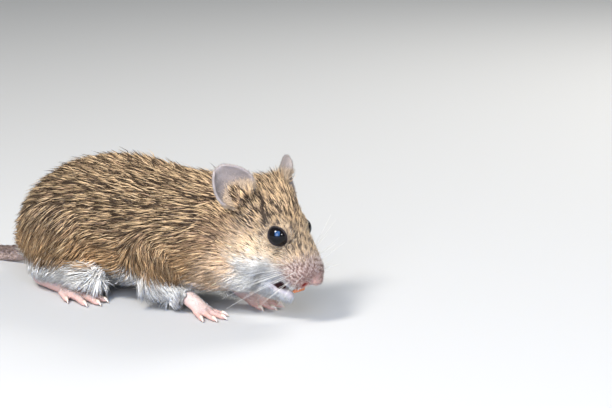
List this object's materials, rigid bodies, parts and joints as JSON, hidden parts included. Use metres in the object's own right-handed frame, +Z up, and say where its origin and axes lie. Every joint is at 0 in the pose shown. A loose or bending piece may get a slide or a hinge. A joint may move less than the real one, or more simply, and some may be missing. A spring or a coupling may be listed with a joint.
{
  "type": "field mouse",
  "caption": "Life-size field mouse in a low crouch on all fours, head down and turned a little, mouth just open, tail laid along the floor.",
  "frame": {"origin": "centre of the bounding box, on the floor that the feet and tail rest on", "axes": "-Y the way the mouse faces, +X its left side, +Z up"},
  "size_m": [0.0462, 0.158, 0.0336],
  "materials": {
    "agouti_fur": "matte",
    "pale_fur": "matte",
    "bare_skin": "satin",
    "ear_skin": "satin",
    "nose_leather": "satin",
    "eye": "gloss",
    "tooth": "gloss"
  },
  "bodies": {
    "root": {"head": "agouti_fur", "neck": "agouti_fur", "chest": "agouti_fur", "abdomen": "agouti_fur", "thigh_left": "agouti_fur", "thigh_right": "agouti_fur", "foreleg_left": "agouti_fur", "foreleg_right": "agouti_fur", "lower_jaw": "pale_fur", "nose": "nose_leather", "upper_incisors": "tooth", "eye_left": "eye", "eye_right": "eye", "ear_left": "ear_skin", "ear_right": "ear_skin", "forefoot_left": "bare_skin", "forefoot_right": "bare_skin", "hind_foot_left": "bare_skin", "hind_foot_right": "bare_skin", "tail_1": "bare_skin", "tail_2": "bare_skin", "tail_3": "bare_skin", "tail_4": "bare_skin"}
  },
  "joints": []
}
